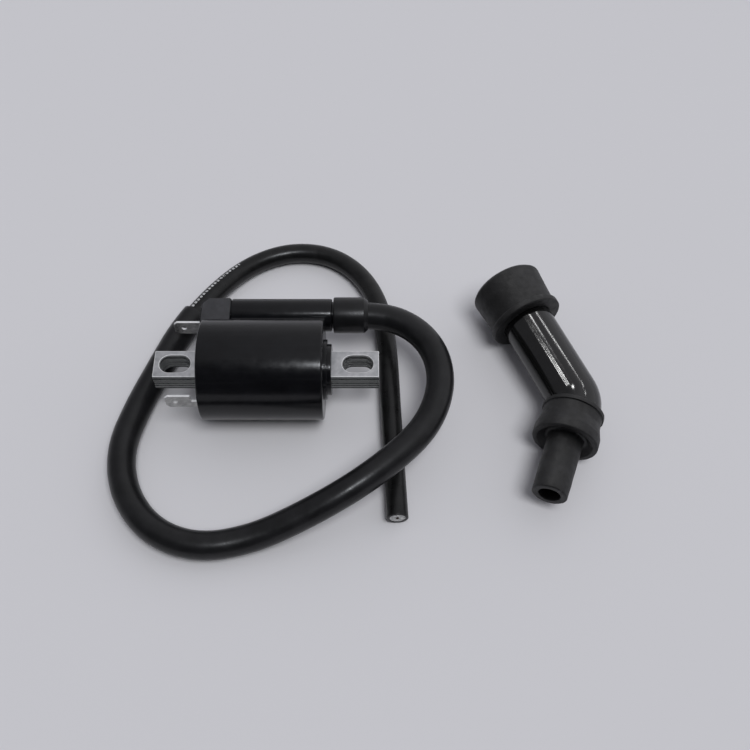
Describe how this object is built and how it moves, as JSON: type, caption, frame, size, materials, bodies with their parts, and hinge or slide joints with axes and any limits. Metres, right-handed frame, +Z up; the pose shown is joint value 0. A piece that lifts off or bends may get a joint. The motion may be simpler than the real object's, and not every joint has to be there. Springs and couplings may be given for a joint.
{
  "type": "ignition coil",
  "caption": "Cylindrical potted ignition coil on a slotted laminated core, with spade terminals, a sleeved high-tension lead and an angled spark plug cap lying beside it.",
  "frame": {"origin": "on the surface the coil lies on, under the middle of the iron core: the middle of the housing's rest flat", "axes": "+X along the core to the side where the high-tension lead comes out, +Y to the side of the lead tower, +Z up from the surface"},
  "size_m": [0.1625, 0.125, 0.0331],
  "materials": {
    "core_steel": "zinc plated, faces brushed, cut edges darker",
    "housing_plastic": "black moulded plastic, satin sheen",
    "resin": "black epoxy, flat",
    "blade_metal": "tin plated",
    "copper_wire": "enamelled copper",
    "bobbin_plastic": "natural plastic",
    "paper": "varnished paper",
    "contact_brass": "turned brass",
    "lead_jacket": "smooth black jacket",
    "sleeve_rubber": "satin black sleeve",
    "cap_plastic": "glossy black",
    "boot_rubber": "matte black",
    "ceramic": "unglazed ceramic",
    "spring_steel": "bright drawn wire"
  },
  "bodies": {
    "coil": {"core_laminations": "core_steel", "housing": "housing_plastic", "potting_resin": "resin", "feed_terminal": "blade_metal", "ground_terminal": "blade_metal", "feed_wire": "copper_wire", "ground_wire": "copper_wire", "primary_bobbin": "bobbin_plastic", "primary_winding": "copper_wire", "insulating_paper": "paper", "secondary_bobbin": "bobbin_plastic", "secondary_winding_1": "copper_wire", "secondary_winding_2": "copper_wire", "secondary_winding_3": "copper_wire", "secondary_winding_4": "copper_wire", "secondary_winding_5": "copper_wire", "secondary_winding_6": "copper_wire", "ht_link_wire": "copper_wire", "tower_contact": "contact_brass", "lead_clamped_end": "lead_jacket", "tower_ferrule": "sleeve_rubber", "ht_lead": "lead_jacket", "lead_sleeve": "sleeve_rubber"},
    "plug_cap": {"cap_body": "cap_plastic", "plug_boot": "boot_rubber", "lead_boot": "boot_rubber", "contact_plate": "contact_brass", "resistor": "ceramic", "resistor_cap_inner": "contact_brass", "resistor_cap_outer": "contact_brass", "contact_spring": "spring_steel", "plug_terminal": "contact_brass", "terminal_clip": "spring_steel", "lead_screw": "contact_brass"}
  },
  "joints": [
    {"name": "plug_cap_lift", "type": "slide", "parent": "coil", "child": "plug_cap", "axis": [0, 0, 1], "range_m": [0, 0.12]}
  ]
}
